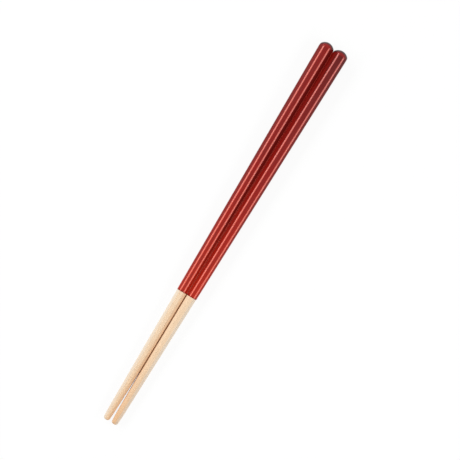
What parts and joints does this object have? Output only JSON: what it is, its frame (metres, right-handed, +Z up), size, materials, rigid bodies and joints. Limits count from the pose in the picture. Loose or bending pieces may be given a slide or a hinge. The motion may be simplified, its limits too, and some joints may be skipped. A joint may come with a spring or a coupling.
{
  "type": "pair of chopsticks",
  "caption": "Tapered octagonal wooden chopsticks with a red coat over the handles and bare, rounded tips, lying side by side.",
  "frame": {"origin": "middle of the pair's footprint on the table, on the plane where the two sticks touch", "axes": "+X from the tips to the butts, +Y from the right stick to the left stick, +Z up"},
  "size_m": [0.225, 0.0162, 0.0081],
  "materials": {
    "coated_wood_left": "clear red lacquer over wood on the handle, bare sanded wood towards the tip",
    "coated_wood_right": "clear red lacquer over wood on the handle, bare sanded wood towards the tip"
  },
  "bodies": {
    "root": {"left_stick": "coated_wood_left", "right_stick": "coated_wood_right"}
  },
  "joints": []
}
